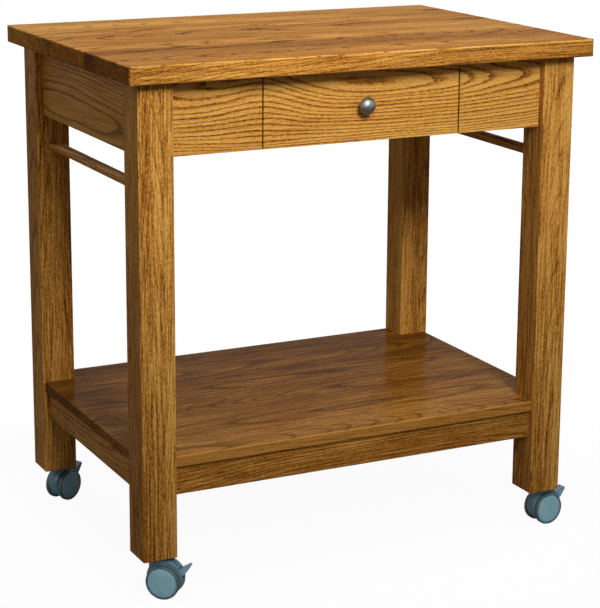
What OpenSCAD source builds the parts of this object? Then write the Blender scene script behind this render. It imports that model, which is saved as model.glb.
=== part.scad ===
// Oak kitchen trolley: a thick top on four square legs, an apron with one
// drawer, a towel bar at each end, a low shelf and four braked twin-wheel
// casters. Millimetres, +Z up, front towards -Y, origin on the floor under
// the middle of the top.

/* [Worktop] */
// Width of the top, left to right
top_w = 885; // [760:1:1100]
// Depth of the top, front to back
top_d = 619; // [520:1:720]
// Thickness of the top
top_t = 31; // [26:1:45]
// Height of the working surface above the floor
top_z = 923; // [865:1:970]
// Radius of the top's corners seen from above
top_corner_r = 8; // [4:1:20]
// Radius of the softened upper and lower edges
top_edge_r = 3; // [1:0.5:4]
// How far the top stands out past the legs at each end
overhang_side = 23.5; // [12:0.5:60]
// How far the top stands out past the legs at the front and the back
overhang_front = 27.5; // [12:0.5:60]

/* [Legs] */
// Width of a square leg
leg_w = 63; // [56:1:80]
// Radius of a leg's long edges
leg_edge_r = 2.5; // [1:0.5:5]
// Chamfer round the foot of a leg
leg_chamfer = 1.5; // [0.5:0.5:3]

/* [Apron] */
// Height of the apron boards
apron_h = 127; // [116:1:150]
// Thickness of the apron boards
apron_t = 19; // [16:1:24]
// Radius of the softened long edges of aprons and stretchers
board_edge_r = 1.2; // [0.5:0.1:2]
// How far the front and back aprons stand behind the legs' faces
apron_setback = 15; // [8:0.5:20]
// How far the end aprons stand behind the legs' faces
side_setback = 14; // [8:0.5:20]
// Thickness of a tenon
tenon_t = 9; // [7:0.5:11]
// Length of a tenon
tenon_l = 20; // [12:1:24]
// How far a tenon stays below and above the edges of its board
tenon_shoulder = 14; // [8:1:18]
// Slack between a tenon and its mortise
tenon_slack = 0.2; // [0.1:0.05:0.4]

/* [Drawer] */
// Width of the drawer front
drawer_w = 376.5; // [300:0.5:480]
// Gap between the drawer front and the fixed apron beside it
drawer_gap = 2.5; // [1.5:0.5:4]
// Free space between the drawer's back and the back apron
drawer_rear_gap = 43.5; // [20:0.5:110]
// Radius of the softened edges of the drawer front
front_edge_r = 0.8; // [0.4:0.1:1.5]
// Height of the drawer's sides
drawer_side_h = 86; // [70:1:88]
// Thickness of the drawer's sides and back
drawer_side_t = 12; // [10:0.5:15]
// Thickness of the drawer's bottom panel
bottom_t = 5; // [4:0.5:6]
// Height of the bottom panel above the sides' lower edges
bottom_rise = 9; // [7:1:14]
// Depth of the grooves that hold the bottom panel
groove_d = 5; // [3:0.5:6]
// Number of dovetail tails at each corner
tails = 3; // [2:1:4]
// Free space over and beside the drawer
drawer_slack = 1; // [0.5:0.1:1.5]
// Running gap between the drawer's sides and what they slide on
run_gap = 0.3; // [0.2:0.05:0.5]

/* [Rails and runners] */
// Thickness of the two flat rails behind the drawer front
rail_t = 19; // [16:1:20]
// Depth of the rails from front to back
rail_d = 60; // [48:1:70]
// Width of a runner's ledge
runner_ledge = 34; // [26:1:45]
// Thickness of a runner's ledge
runner_t = 15; // [12:1:18]
// Height of a runner's guide above its ledge
guide_h = 24; // [16:1:34]
// Thickness of a runner's guide
guide_t = 15; // [12:1:20]
// Width of a corner brace measured square to its slope
brace_w = 25; // [20:1:32]
// Height of a corner brace
brace_h = 60; // [45:1:70]

/* [Towel bars] */
// Diameter of a towel bar
bar_d = 19; // [16:1:25]
// How far a towel bar's centre hangs below the aprons
bar_drop = 56.5; // [45:0.5:80]
// Depth of a bar's sockets in the legs
socket_d = 15; // [10:1:22]
// Radial slack of a bar in its sockets
bar_slack = 0.1; // [0.05:0.05:0.3]

/* [Shelf] */
// Height of the shelf's upper face above the floor
shelf_z = 253; // [180:1:320]
// Thickness of the shelf
shelf_t = 19; // [16:1:24]
// Radius of the shelf's softened edges
shelf_edge_r = 2; // [1:0.5:4]
// How far the shelf's edges stay behind the legs' outer faces
shelf_setback = 4; // [2:0.5:9]
// Slack between the shelf's notches and the legs
notch_slack = 0.4; // [0.2:0.1:1]
// Height of the stretchers under the shelf
stretcher_h = 51.5; // [40:0.5:70]
// Thickness of the stretchers
stretcher_t = 19; // [16:1:24]
// How far the stretchers stand behind the legs' faces
stretcher_setback = 11.6; // [8:0.2:16]
// How far a stretcher's tenon stays from the stretcher's edges
stretcher_shoulder = 9; // [6:1:12]

/* [Knob] */
// Diameter of the knob's cap
knob_d = 30; // [24:1:38]
// How far the knob stands out from the drawer front
knob_out = 26; // [22:1:32]
// Diameter of the knob's foot
knob_foot_d = 16; // [13:1:20]
// Diameter of the knob's neck
knob_neck_d = 12; // [9:0.5:14]
// Diameter of the screw that holds the knob
knob_screw_d = 4; // [3:0.5:5]

/* [Casters] */
// Diameter of a wheel over its tyre
wheel_d = 60; // [50:1:66]
// Distance from the swivel axis to the axle
trail = 21; // [17:0.5:26]
// Width of a caster over both wheels
caster_w = 42; // [38:1:52]
// Width of one wheel's tread
tread_w = 9; // [7:0.5:11]
// Thickness of a tyre
tyre_t = 3; // [2:0.5:4]
// Radius of the round body between the wheels
hood_r = 32; // [29:0.5:33]
// How far the body's round stands above the axle
hood_rise = 7; // [3:0.5:8]
// How far the body's round stands behind the axle
hood_shift = 1; // [0:0.5:3]
// Radius of the body's softened rim
hood_edge_r = 2; // [0.5:0.5:2.5]
// Thickness of the body's walls
hood_wall = 2.5; // [2:0.25:3]
// Gap between the wheels and the body
wheel_gap = 1; // [0.6:0.1:1.4]
// Diameter of the axle
axle_d = 6; // [5:0.5:8]
// Diameter of the swivel stem
stem_d = 11; // [9:0.5:12]
// Radial running clearance of a wheel, stem or lever on its pin
pin_slack = 0.06; // [0.03:0.01:0.09]
// Height of the legs' lower ends above the floor
leg_z = 73; // [72:0.5:78]
// Depth of a stem's socket in a leg
stem_socket_d = 38; // [30:1:45]
// Reach of a brake pedal's tip from the swivel axis
lever_reach = 68; // [64:0.5:72]
// Width of a brake pedal
lever_w = 16; // [12:0.5:16]
// Height of a brake pedal's tip above its pivot
lever_rise = 17.5; // [14:0.5:19]
// Heading of the front left caster, in degrees from +X
head_front_left = -42; // [-180:1:180]
// Heading of the front right caster
head_front_right = 5; // [-180:1:180]
// Heading of the back left caster
head_back_left = 28; // [-180:1:180]
// Heading of the back right caster
head_back_right = -15; // [-180:1:180]

/* [Hidden] */
$fn = 64;
// A cut runs past the face it opens by this much
past = 1;

oak = "#b9803f";
oak_shelf = "#8a5a2c";
oak_inside = "#cfae7a";
gunmetal = "#3c3f42";
steel = "#b8bbbf";
housing_grey = "#4c5c68";
disc_grey = "#7d9397";
tyre_grey = "#35403f";

// Legs
under_z = top_z - top_t;
leg_x = top_w / 2 - overhang_side - leg_w / 2;
leg_y = top_d / 2 - overhang_front - leg_w / 2;
inner_x = leg_x - leg_w / 2;
inner_y = leg_y - leg_w / 2;
outer_x = leg_x + leg_w / 2;
outer_y = leg_y + leg_w / 2;

// Aprons
apron_z = under_z - apron_h;
apron_y = outer_y - apron_setback;
apron_x = outer_x - side_setback;
apron_in_y = apron_y - apron_t;
apron_in_x = apron_x - apron_t;

// Drawer opening, rails and runners
opening_x = drawer_w / 2 + drawer_gap;
rail_in_y = apron_in_y - rail_d;
run_z = apron_z + rail_t;
drawer_z = run_z + run_gap;
front_stop = 0.5;
front_t = apron_t - front_stop;
front_h = apron_h - 2;
front_in_y = apron_y - front_t;
box_x = drawer_w / 2;
guide_x = box_x + drawer_slack;
drawer_back_y = apron_in_y - drawer_rear_gap;

// Dovetails
socket_l = 12;
tail_flare = 0.14;
fit_gap = 0.1;
tail_pitch = drawer_side_h / tails;
tail_half = tail_pitch * 0.26;

// Corner braces, laid against the inner corner of each leg
brace_near = inner_x + inner_y;
brace_far = brace_near - brace_w * sqrt(2);
brace_mid_x = inner_x - brace_w * sqrt(2) / 4;
brace_mid_y = inner_y - brace_w * sqrt(2) / 4;

// Towel bars
bar_z = apron_z - bar_drop;

// Stretchers and shelf
stretcher_y = outer_y - stretcher_setback;
stretcher_x = outer_x - stretcher_setback;
stretcher_z = shelf_z - shelf_t - stretcher_h;

// Knob
knob_z = (apron_z + under_z) / 2;
knob_bore_l = 14;
screw_head_d = 8;
screw_head_t = 2.5;

// Screws up into the top
top_screw_d = 4;
top_screw_head_d = 8.5;
top_screw_head_t = 3;
top_screw_bite = 14;
screw_bore_slack = 0.2;
brace_screw_grip = 16;

// Casters
wheel_r = wheel_d / 2;
axle_z = wheel_r;
hood_w = caster_w - 2 * tread_w - 2 * wheel_gap;
hood_z = axle_z + hood_rise;
hood_x = trail + hood_shift;
hood_in_w = hood_w - 2 * hood_wall;
hood_foot_z = 11;
socket_flange_t = 1.5;
socket_flange_d = 20;
socket_wall = 1.5;
hood_top_z = leg_z - socket_flange_t - run_gap;
swivel_r = stem_d / 2 + 3;
stem_in_hood = 20;
axle_boss_r = axle_d / 2 + 3;
hub_r = wheel_r - tyre_t;
hub_boss_r = axle_d / 2 + 4;
wheel_in_y = caster_w / 2 - tread_w;
axle_end = caster_w / 2 - 4;
disc_r = hub_r - 1.5;
pivot_x = trail + 17;
pivot_z = axle_z + 15;
lever_root_r = 4.5;
lever_tip_r = 3;
trunnion_r = 2.5;
lever_side_gap = 0.3;
window_low = 8;
window_high = 11;
HEADS = [head_front_left, head_front_right, head_back_left, head_back_right];

// ---------- shared shapes ----------

// Rectangle centred on the origin with round corners
module round_rect(w, d, r) {
    square([w, d - 2 * r], center = true);
    square([w - 2 * r, d], center = true);
    for (sx = [-1, 1], sy = [-1, 1])
        translate([sx * (w / 2 - r), sy * (d / 2 - r)]) circle(r = r);
}

// Bar along X, centred on the origin, with softened long edges
module bar_x(l, t, h, r) {
    rotate([90, 0, 90]) linear_extrude(l, center = true) round_rect(t, h, r);
}

// The same along Y
module bar_y(l, t, h, r) {
    rotate([90, 0, 0]) linear_extrude(l, center = true) round_rect(t, h, r);
}

// Panel centred on the origin with softened edges all round
module soft_panel(w, d, t, r) {
    intersection() {
        bar_x(w, d, t, r);
        bar_y(d, w, t, r);
    }
}

// Box between two corners
module box_between(lo, hi) {
    translate(lo) cube(hi - lo);
}

// Pin or bore along Y, centred on the origin
module along_y(r, l) {
    rotate([90, 0, 0]) cylinder(r = r, h = l, center = true);
}

// Copies of the children at both signs of X
module both_sides() {
    children();
    mirror([1, 0, 0]) children();
}

// ---------- worktop ----------

// Places of the screws that come up through the upper rail
function rail_screw_x() = [-inner_x + 60, 0, inner_x - 60];

// Places in plan of the five screws that hold the top
function top_screw_spots() = concat(
    [for (x = rail_screw_x()) [x, -(apron_in_y + rail_in_y) / 2]],
    [for (s = [-1, 1]) [s * brace_mid_x, brace_mid_y]]
);

module table_top() {
    color(oak) difference() {
        intersection() {
            translate([0, 0, under_z]) linear_extrude(top_t)
                round_rect(top_w, top_d, top_corner_r);
            translate([0, 0, top_z - top_t / 2]) soft_panel(top_w, top_d, top_t, top_edge_r);
        }
        for (spot = top_screw_spots())
            translate([spot[0], spot[1], under_z - past])
                cylinder(d = top_screw_d + screw_bore_slack, h = top_screw_bite + past);
    }
}

module top_screws() {
    color(steel) {
        for (x = rail_screw_x())
            translate([x, -(apron_in_y + rail_in_y) / 2, under_z - rail_t])
                countersunk_screw(rail_t + top_screw_bite - past);
        for (s = [-1, 1])
            translate([s * brace_mid_x, brace_mid_y, under_z - brace_screw_grip])
                countersunk_screw(brace_screw_grip + top_screw_bite - past);
    }
}

// Flat-headed screw that stands on the origin and points up
module countersunk_screw(l) {
    rotate_extrude() polygon([
        [0, 0], [top_screw_head_d / 2, 0], [top_screw_head_d / 2, 0.6],
        [top_screw_d / 2, top_screw_head_t], [top_screw_d / 2, l - 3], [0, l]
    ]);
}

// Hole for that screw through a board
module screw_way(l) {
    slack = screw_bore_slack / 2;
    rotate_extrude() polygon([
        [0, -past], [top_screw_head_d / 2 + slack, -past],
        [top_screw_head_d / 2 + slack, 0.6 + slack],
        [top_screw_d / 2 + slack, top_screw_head_t + slack],
        [top_screw_d / 2 + slack, l + past], [0, l + past]
    ]);
}

// ---------- legs ----------

// Mortises for the boards that meet the leg in the +X, +Y corner
module mortises() {
    s = tenon_slack;
    // Apron or end-to-end board, entering the leg's inner X face
    apron_mid_y = apron_y - apron_t / 2 - leg_y;
    box_between(
        [-leg_w / 2 - past, apron_mid_y - tenon_t / 2 - s, apron_z + tenon_shoulder - s],
        [-leg_w / 2 + tenon_l + s, apron_mid_y + tenon_t / 2 + s, under_z - tenon_shoulder + s]);
    // End apron, entering the inner Y face
    apron_mid_x = apron_x - apron_t / 2 - leg_x;
    box_between(
        [apron_mid_x - tenon_t / 2 - s, -leg_w / 2 - past, apron_z + tenon_shoulder - s],
        [apron_mid_x + tenon_t / 2 + s, -leg_w / 2 + tenon_l + s, under_z - tenon_shoulder + s]);
    // Stretchers under the shelf
    stretcher_mid_y = stretcher_y - stretcher_t / 2 - leg_y;
    box_between(
        [-leg_w / 2 - past, stretcher_mid_y - tenon_t / 2 - s,
            stretcher_z + stretcher_shoulder - s],
        [-leg_w / 2 + tenon_l + s, stretcher_mid_y + tenon_t / 2 + s,
            stretcher_z + stretcher_h - stretcher_shoulder + s]);
    stretcher_mid_x = stretcher_x - stretcher_t / 2 - leg_x;
    box_between(
        [stretcher_mid_x - tenon_t / 2 - s, -leg_w / 2 - past,
            stretcher_z + stretcher_shoulder - s],
        [stretcher_mid_x + tenon_t / 2 + s, -leg_w / 2 + tenon_l + s,
            stretcher_z + stretcher_h - stretcher_shoulder + s]);
    // Towel bar socket and caster socket
    translate([0, -leg_w / 2 + socket_d / 2, bar_z])
        along_y(bar_d / 2 + bar_slack, socket_d + 0.5 + past);
    translate([0, 0, leg_z - past])
        cylinder(d = stem_d + 2 * socket_wall + 0.2, h = stem_socket_d + past);
}

// Side view of a leg with its foot chamfered, standing on z = 0
module leg_side(h) {
    polygon([
        [leg_chamfer - leg_w / 2, 0], [leg_w / 2 - leg_chamfer, 0], [leg_w / 2, leg_chamfer],
        [leg_w / 2, h], [-leg_w / 2, h], [-leg_w / 2, leg_chamfer]
    ]);
}

module leg(sx, sy) {
    h = under_z - leg_z;
    mirror([sx < 0 ? 1 : 0, 0, 0]) mirror([0, sy < 0 ? 1 : 0, 0])
        color(oak) translate([leg_x, leg_y, 0]) difference() {
            translate([0, 0, leg_z]) intersection() {
                linear_extrude(h) round_rect(leg_w, leg_w, leg_edge_r);
                rotate([90, 0, 0]) linear_extrude(leg_w, center = true) leg_side(h);
                rotate([90, 0, 90]) linear_extrude(leg_w, center = true) leg_side(h);
            }
            mortises();
        }
}

// ---------- aprons ----------

// Board along X from x0 to x1 with its outer face at y = -face, with tenons
// on the ends that meet legs
module board_x(x0, x1, face, t, z0, h, shoulder, tenon_left, tenon_right) {
    mid = -face + t / 2;
    translate([(x0 + x1) / 2, mid, z0 + h / 2]) bar_x(x1 - x0, t, h, board_edge_r);
    if (tenon_left)
        box_between([x0 - tenon_l, mid - tenon_t / 2, z0 + shoulder],
            [x0 + past, mid + tenon_t / 2, z0 + h - shoulder]);
    if (tenon_right)
        box_between([x1 - past, mid - tenon_t / 2, z0 + shoulder],
            [x1 + tenon_l, mid + tenon_t / 2, z0 + h - shoulder]);
}

// Board along Y between two legs with its outer face at x = face. Its tenons
// stand further out than those of the long boards, so they miss each other
module end_board(face, t, z0, h, shoulder) {
    mid = face - t / 2;
    translate([mid, 0, z0 + h / 2]) bar_y(2 * inner_y, t, h, board_edge_r);
    for (s = [-1, 1])
        box_between([mid - tenon_t / 2, s > 0 ? inner_y - past : -inner_y - tenon_l, z0 + shoulder],
            [mid + tenon_t / 2, s > 0 ? inner_y + tenon_l : -inner_y + past, z0 + h - shoulder]);
}

module apron_front(side) {
    color(oak) mirror([side < 0 ? 1 : 0, 0, 0])
        board_x(opening_x, inner_x, apron_y, apron_t, apron_z, apron_h,
            tenon_shoulder, false, true);
}

module apron_back() {
    color(oak) mirror([0, 1, 0])
        board_x(-inner_x, inner_x, apron_y, apron_t, apron_z, apron_h,
            tenon_shoulder, true, true);
}

module apron_end(side) {
    color(oak) mirror([side < 0 ? 1 : 0, 0, 0])
        end_board(apron_x, apron_t, apron_z, apron_h, tenon_shoulder);
}

// ---------- rails, runners and braces ----------

module rail(z0) {
    box_between([-inner_x, -apron_in_y, z0], [inner_x, -rail_in_y, z0 + rail_t]);
}

module rail_upper() {
    color(oak_inside) difference() {
        rail(under_z - rail_t);
        for (x = rail_screw_x())
            translate([x, -(apron_in_y + rail_in_y) / 2, under_z - rail_t]) screw_way(rail_t);
    }
}

module rail_lower() {
    color(oak_inside) rail(apron_z);
}

// L-shaped runner from the lower rail back to the back apron
module runner(side) {
    color(oak_inside) mirror([side < 0 ? 1 : 0, 0, 0])
        translate([0, -rail_in_y, 0]) rotate([-90, 0, 0]) mirror([0, 1, 0])
            linear_extrude(rail_in_y + apron_in_y) polygon([
                [guide_x + guide_t - runner_ledge, run_z - runner_t],
                [guide_x + guide_t, run_z - runner_t],
                [guide_x + guide_t, run_z + guide_h],
                [guide_x, run_z + guide_h],
                [guide_x, run_z],
                [guide_x + guide_t - runner_ledge, run_z]
            ]);
}

// Sloping brace across the +X, +Y corner, between z0 and z0 + brace_h
module brace(z0) {
    translate([0, 0, z0]) linear_extrude(brace_h) polygon([
        [apron_in_x, brace_near - apron_in_x], [brace_near - apron_in_y, apron_in_y],
        [brace_far - apron_in_y, apron_in_y], [apron_in_x, brace_far - apron_in_x]
    ]);
}

module corner_braces() {
    color(oak_inside) both_sides() {
        difference() {
            brace(under_z - brace_h);
            translate([brace_mid_x, brace_mid_y, under_z - brace_screw_grip])
                screw_way(brace_screw_grip);
            translate([brace_mid_x, brace_mid_y, under_z - brace_h - past])
                cylinder(d = top_screw_head_d + 1.5, h = brace_h - brace_screw_grip + past);
        }
        mirror([0, 1, 0]) brace(under_z - rail_t - brace_h);
    }
}

// ---------- towel bars ----------

module towel_bar(side) {
    color(oak) translate([side * leg_x, 0, bar_z])
        along_y(bar_d / 2, 2 * (inner_y + socket_d));
}

// ---------- shelf and stretchers ----------

module shelf() {
    w = 2 * (outer_x - shelf_setback);
    d = 2 * (outer_y - shelf_setback);
    notch_x = inner_x - notch_slack;
    notch_y = inner_y - notch_slack;
    color(oak_shelf) difference() {
        translate([0, 0, shelf_z - shelf_t / 2]) soft_panel(w, d, shelf_t, shelf_edge_r);
        for (sx = [-1, 1], sy = [-1, 1])
            translate([sx * (notch_x + leg_w / 2), sy * (notch_y + leg_w / 2), shelf_z])
                cube([leg_w, leg_w, 3 * shelf_t], center = true);
    }
}

module stretcher_long() {
    color(oak) board_x(-inner_x, inner_x, stretcher_y, stretcher_t, stretcher_z, stretcher_h,
        stretcher_shoulder, true, true);
}

module stretcher_end(side) {
    color(oak) mirror([side < 0 ? 1 : 0, 0, 0])
        end_board(stretcher_x, stretcher_t, stretcher_z, stretcher_h, stretcher_shoulder);
}

// ---------- drawer ----------

// Outline of the tails at the end of a drawer side: they point to -X and
// run from z = 0 to the side's height
module tail_outline(l, grow) {
    for (i = [0:tails - 1]) {
        mid = (i + 0.5) * tail_pitch;
        narrow = tail_half + grow;
        wide = narrow + l * tail_flare;
        polygon([[-l - grow, mid - wide], [0, mid - narrow], [past, mid - narrow],
            [past, mid + narrow], [0, mid + narrow], [-l - grow, mid + wide]]);
    }
}

// Tails of the right-hand side, standing in the plane of that side
module tails_solid(l, grow, t) {
    rotate([90, 0, 90]) linear_extrude(t) tail_outline(l, grow);
}

module drawer_side(side) {
    t = drawer_side_t;
    color(oak_inside) mirror([side < 0 ? 1 : 0, 0, 0]) difference() {
        union() {
            translate([box_x - t / 2, (drawer_back_y - t - front_in_y) / 2,
                    drawer_z + drawer_side_h / 2])
                bar_y(drawer_back_y - t + front_in_y, t, drawer_side_h, front_edge_r);
            translate([box_x - t, -front_in_y, drawer_z]) tails_solid(socket_l, 0, t);
            translate([box_x - t, drawer_back_y - t, drawer_z]) mirror([0, 1, 0])
                tails_solid(t, 0, t);
        }
        bottom_groove(groove_d);
    }
}

// Space of the bottom panel, grown sideways into its grooves
module bottom_groove(depth) {
    x = box_x - drawer_side_t + depth;
    box_between(
        [-x, -front_in_y - depth, drawer_z + bottom_rise - fit_gap],
        [x, drawer_back_y + past, drawer_z + bottom_rise + bottom_t + fit_gap]);
}

// Rectangle from y = 0 to y = d with its two corners at y = 0 rounded
module soft_front(w, d, r) {
    translate([-w / 2, r]) square([w, d - r]);
    translate([r - w / 2, 0]) square([w - 2 * r, d]);
    for (s = [-1, 1]) translate([s * (w / 2 - r), r]) circle(r = r);
}

module drawer_front() {
    color(oak) difference() {
        translate([0, -apron_y, apron_z]) intersection() {
            linear_extrude(front_h) soft_front(drawer_w, front_t, front_edge_r);
            translate([0, 0, front_h / 2]) rotate([0, -90, 0])
                linear_extrude(drawer_w, center = true)
                    soft_front(front_h, front_t, front_edge_r);
        }
        both_sides() translate([box_x - drawer_side_t - fit_gap, -front_in_y, drawer_z])
            tails_solid(socket_l, fit_gap, drawer_side_t + fit_gap + past);
        box_between([-box_x + drawer_side_t - groove_d, -front_in_y - groove_d,
                drawer_z + bottom_rise - fit_gap],
            [box_x - drawer_side_t + groove_d, -front_in_y + past,
                drawer_z + bottom_rise + bottom_t + fit_gap]);
        translate([0, -apron_y, knob_z]) along_y(knob_screw_d / 2 + fit_gap, 3 * apron_t);
    }
}

module drawer_back() {
    low = drawer_z + bottom_rise + bottom_t + fit_gap;
    color(oak_inside) difference() {
        box_between([-box_x, drawer_back_y - drawer_side_t, low],
            [box_x, drawer_back_y, drawer_z + drawer_side_h]);
        both_sides() translate([box_x - drawer_side_t - fit_gap,
                drawer_back_y - drawer_side_t, drawer_z]) mirror([0, 1, 0])
            tails_solid(drawer_side_t + past, fit_gap, drawer_side_t + fit_gap + past);
    }
}

module drawer_bottom() {
    x = box_x - drawer_side_t + groove_d - fit_gap;
    color(oak_inside) box_between(
        [-x, -front_in_y - groove_d + fit_gap, drawer_z + bottom_rise],
        [x, drawer_back_y, drawer_z + bottom_rise + bottom_t]);
}

// ---------- knob ----------

// Half outline of the mushroom knob: radius, distance from the drawer front
function knob_profile() = let (r = knob_d / 2, rim = knob_out * 0.58) concat(
    [[0, 0], [knob_foot_d / 2, 0], [knob_foot_d / 2, 1.5], [knob_foot_d / 2 - 0.8, 2.6]],
    [for (i = [0:6]) let (u = i / 6)
        [knob_neck_d / 2 + (r - 1 - knob_neck_d / 2) * pow(u, 2.2), 5 + (rim - 6.5) * u]],
    [for (a = [-30:15:90])
        [a < 30 ? r - 1.6 + 1.6 * cos(a) : (r - 0.4) * cos((a - 30) * 1.5),
            a < 30 ? rim + 1.6 * sin(a) : rim + 0.8 + (knob_out - rim - 0.8) * sin((a - 30) * 1.5)]]
);

module knob() {
    color(gunmetal) translate([0, -apron_y, knob_z]) rotate([90, 0, 0]) difference() {
        rotate_extrude() polygon(knob_profile());
        translate([0, 0, -past]) cylinder(d = knob_screw_d + 2 * fit_gap, h = knob_bore_l + past);
    }
}

module knob_screw() {
    color(steel) translate([0, -front_in_y, knob_z]) rotate([90, 0, 0]) {
        cylinder(d = knob_screw_d, h = front_t + knob_bore_l - past);
        translate([0, 0, -screw_head_t]) cylinder(d = screw_head_d, h = screw_head_t);
    }
}

// ---------- casters ----------

// One caster's own frame: swivel axis on Z, the wheels trail towards +X
module at_caster(i) {
    sx = i % 2 == 0 ? -1 : 1;
    sy = i < 2 ? -1 : 1;
    translate([sx * leg_x, sy * leg_y, 0]) rotate([0, 0, HEADS[i]]) children();
}

module each_caster() {
    for (i = [0:3]) at_caster(i) children();
}

module caster_sockets() {
    color(steel) each_caster() difference() {
        union() {
            translate([0, 0, leg_z]) cylinder(d = stem_d + 2 * socket_wall, h = stem_socket_d - 1);
            translate([0, 0, leg_z - socket_flange_t])
                cylinder(d = socket_flange_d, h = socket_flange_t);
        }
        translate([0, 0, leg_z - socket_flange_t - past])
            cylinder(d = stem_d + 2 * fit_gap, h = stem_socket_d + socket_flange_t);
    }
}

module caster_stems() {
    foot = hood_top_z - stem_in_hood;
    color(steel) each_caster() translate([0, 0, foot]) rotate_extrude() polygon([
        [0, 0], [stem_d / 2 - 1, 0], [stem_d / 2, 1],
        [stem_d / 2, leg_z - foot + stem_socket_d - 6],
        [stem_d / 2 - 1.5, leg_z - foot + stem_socket_d - 3],
        [0, leg_z - foot + stem_socket_d - 3]
    ]);
}

// Round disc along Y with a softened rim, centred on the origin
module soft_disc(r, w, edge) {
    rotate([90, 0, 0]) rotate_extrude() {
        translate([0, edge - w / 2]) square([r, w - 2 * edge]);
        translate([0, -w / 2]) square([r - edge, w]);
        for (s = [-1, 1]) translate([r - edge, s * (w / 2 - edge)]) circle(r = edge);
    }
}

// Hollow body between the wheels, open at its foot and behind the pedal
module hood() {
    color(housing_grey) difference() {
        union() {
            translate([hood_x, 0, hood_z]) difference() {
                soft_disc(hood_r, hood_w, hood_edge_r);
                along_y(hood_r - hood_wall, hood_in_w);
            }
            translate([0, 0, hood_z]) cylinder(r = swivel_r, h = hood_top_z - hood_z);
            translate([trail, 0, axle_z]) along_y(axle_boss_r, hood_w);
        }
        box_between([hood_x - 2 * hood_r, -hood_w, -past],
            [hood_x + 2 * hood_r, hood_w, hood_foot_z]);
        // Stem, axle and brake pedal
        translate([0, 0, hood_top_z - stem_in_hood - 0.5])
            cylinder(r = stem_d / 2 + pin_slack, h = stem_in_hood + 2);
        translate([trail, 0, axle_z]) along_y(axle_d / 2 + 0.02, 2 * hood_w);
        translate([pivot_x, 0, pivot_z]) along_y(trunnion_r + pin_slack, 2 * hood_w);
        box_between([pivot_x - lever_root_r - 1, -hood_in_w / 2, pivot_z - window_low],
            [hood_x + 2 * hood_r, hood_in_w / 2, pivot_z + window_high]);
    }
}

module axle() {
    color(steel) translate([trail, 0, axle_z]) along_y(axle_d / 2, 2 * axle_end);
}

// Side view of the pedal's wedge, with the pivot on the origin
module lever_side(run) {
    circle(r = lever_root_r);
    polygon([
        [0, lever_root_r], [run * 0.28, lever_root_r + 2.5], [run - 3.4, lever_rise],
        [run - 1, lever_rise - 0.4], [run, lever_rise - 2], [run * 0.64, -0.5], [0, -lever_root_r]
    ]);
}

// Plan of the pedal, with round corners at its tip
module lever_plan(run, half) {
    translate([-lever_root_r, -half]) square([lever_root_r + run - lever_tip_r, 2 * half]);
    translate([0, lever_tip_r - half]) square([run, 2 * (half - lever_tip_r)]);
    for (s = [-1, 1])
        translate([run - lever_tip_r, s * (half - lever_tip_r)]) circle(r = lever_tip_r);
}

// Brake pedal with its two trunnions, pointing to +X and up
module lever() {
    run = lever_reach - pivot_x;
    half = min(lever_w, hood_in_w - 2 * lever_side_gap) / 2;
    color(housing_grey) translate([pivot_x, 0, pivot_z]) {
        along_y(trunnion_r, hood_w - 2 * lever_side_gap);
        intersection() {
            rotate([90, 0, 0]) linear_extrude(2 * half, center = true) lever_side(run);
            linear_extrude(4 * lever_rise, center = true) lever_plan(run, half);
        }
    }
}

// Wheel on the caster's +Y side, as radius and distance along the axle
module wheel_solid() {
    o = caster_w / 2;
    rotate_extrude() difference() {
        polygon([
            [0, hood_w / 2 + wheel_gap], [hub_boss_r, hood_w / 2 + wheel_gap],
            [hub_boss_r, wheel_in_y + 2.5], [hub_r - 3, wheel_in_y + 2.5],
            [hub_r - 3, wheel_in_y], [hub_r, wheel_in_y], [hub_r, o - 3.2],
            [disc_r, o - 3.2], [disc_r, o - 2.2], [disc_r - 0.4, o - 1.5],
            [disc_r - 1.2, o - 1.1], [disc_r * 0.85, o - 0.65], [disc_r * 0.6, o - 0.25],
            [disc_r * 0.3, o - 0.06], [0, o]
        ]);
        square([axle_d / 2 + pin_slack, axle_end + 0.3]);
    }
}

module wheel(side) {
    color(disc_grey) translate([trail, 0, axle_z]) mirror([0, side < 0 ? 1 : 0, 0])
        rotate([-90, 0, 0]) wheel_solid();
}

module tyre(side) {
    o = caster_w / 2;
    color(tyre_grey) translate([trail, 0, axle_z]) mirror([0, side < 0 ? 1 : 0, 0])
        rotate([-90, 0, 0]) rotate_extrude() polygon([
            [hub_r, wheel_in_y], [wheel_r - 1, wheel_in_y], [wheel_r - 0.3, wheel_in_y + 0.3],
            [wheel_r, wheel_in_y + 1], [wheel_r, o - 3.4], [wheel_r - 0.3, o - 2.4],
            [wheel_r - 1, o - 1.6], [wheel_r - 1.9, o - 1.2], [hub_r + 0.4, o - 1.2],
            [hub_r, o - 1.7]
        ]);
}

table_top();
leg(-1, -1);  // leg_front_left
leg(1, -1);  // leg_front_right
leg(-1, 1);  // leg_back_left
leg(1, 1);  // leg_back_right
apron_front(-1);  // apron_front_left
apron_front(1);  // apron_front_right
apron_back();
apron_end(-1);  // apron_left
apron_end(1);  // apron_right
rail_upper();
rail_lower();
runner(-1);  // runner_left
runner(1);  // runner_right
corner_braces();
top_screws();
towel_bar(-1);  // towel_bar_left
towel_bar(1);  // towel_bar_right
shelf();
stretcher_long();  // stretcher_front
mirror([0, 1, 0]) stretcher_long();  // stretcher_back
stretcher_end(-1);  // stretcher_left
stretcher_end(1);  // stretcher_right
drawer_front();
drawer_side(-1);  // drawer_side_left
drawer_side(1);  // drawer_side_right
drawer_back();
drawer_bottom();
knob();
knob_screw();
caster_sockets();
caster_stems();
at_caster(0) hood();  // fl_hood
at_caster(0) axle();  // fl_axle
at_caster(0) lever();  // fl_lever
at_caster(0) wheel(-1);  // fl_wheel_a
at_caster(0) tyre(-1);  // fl_tyre_a
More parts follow.
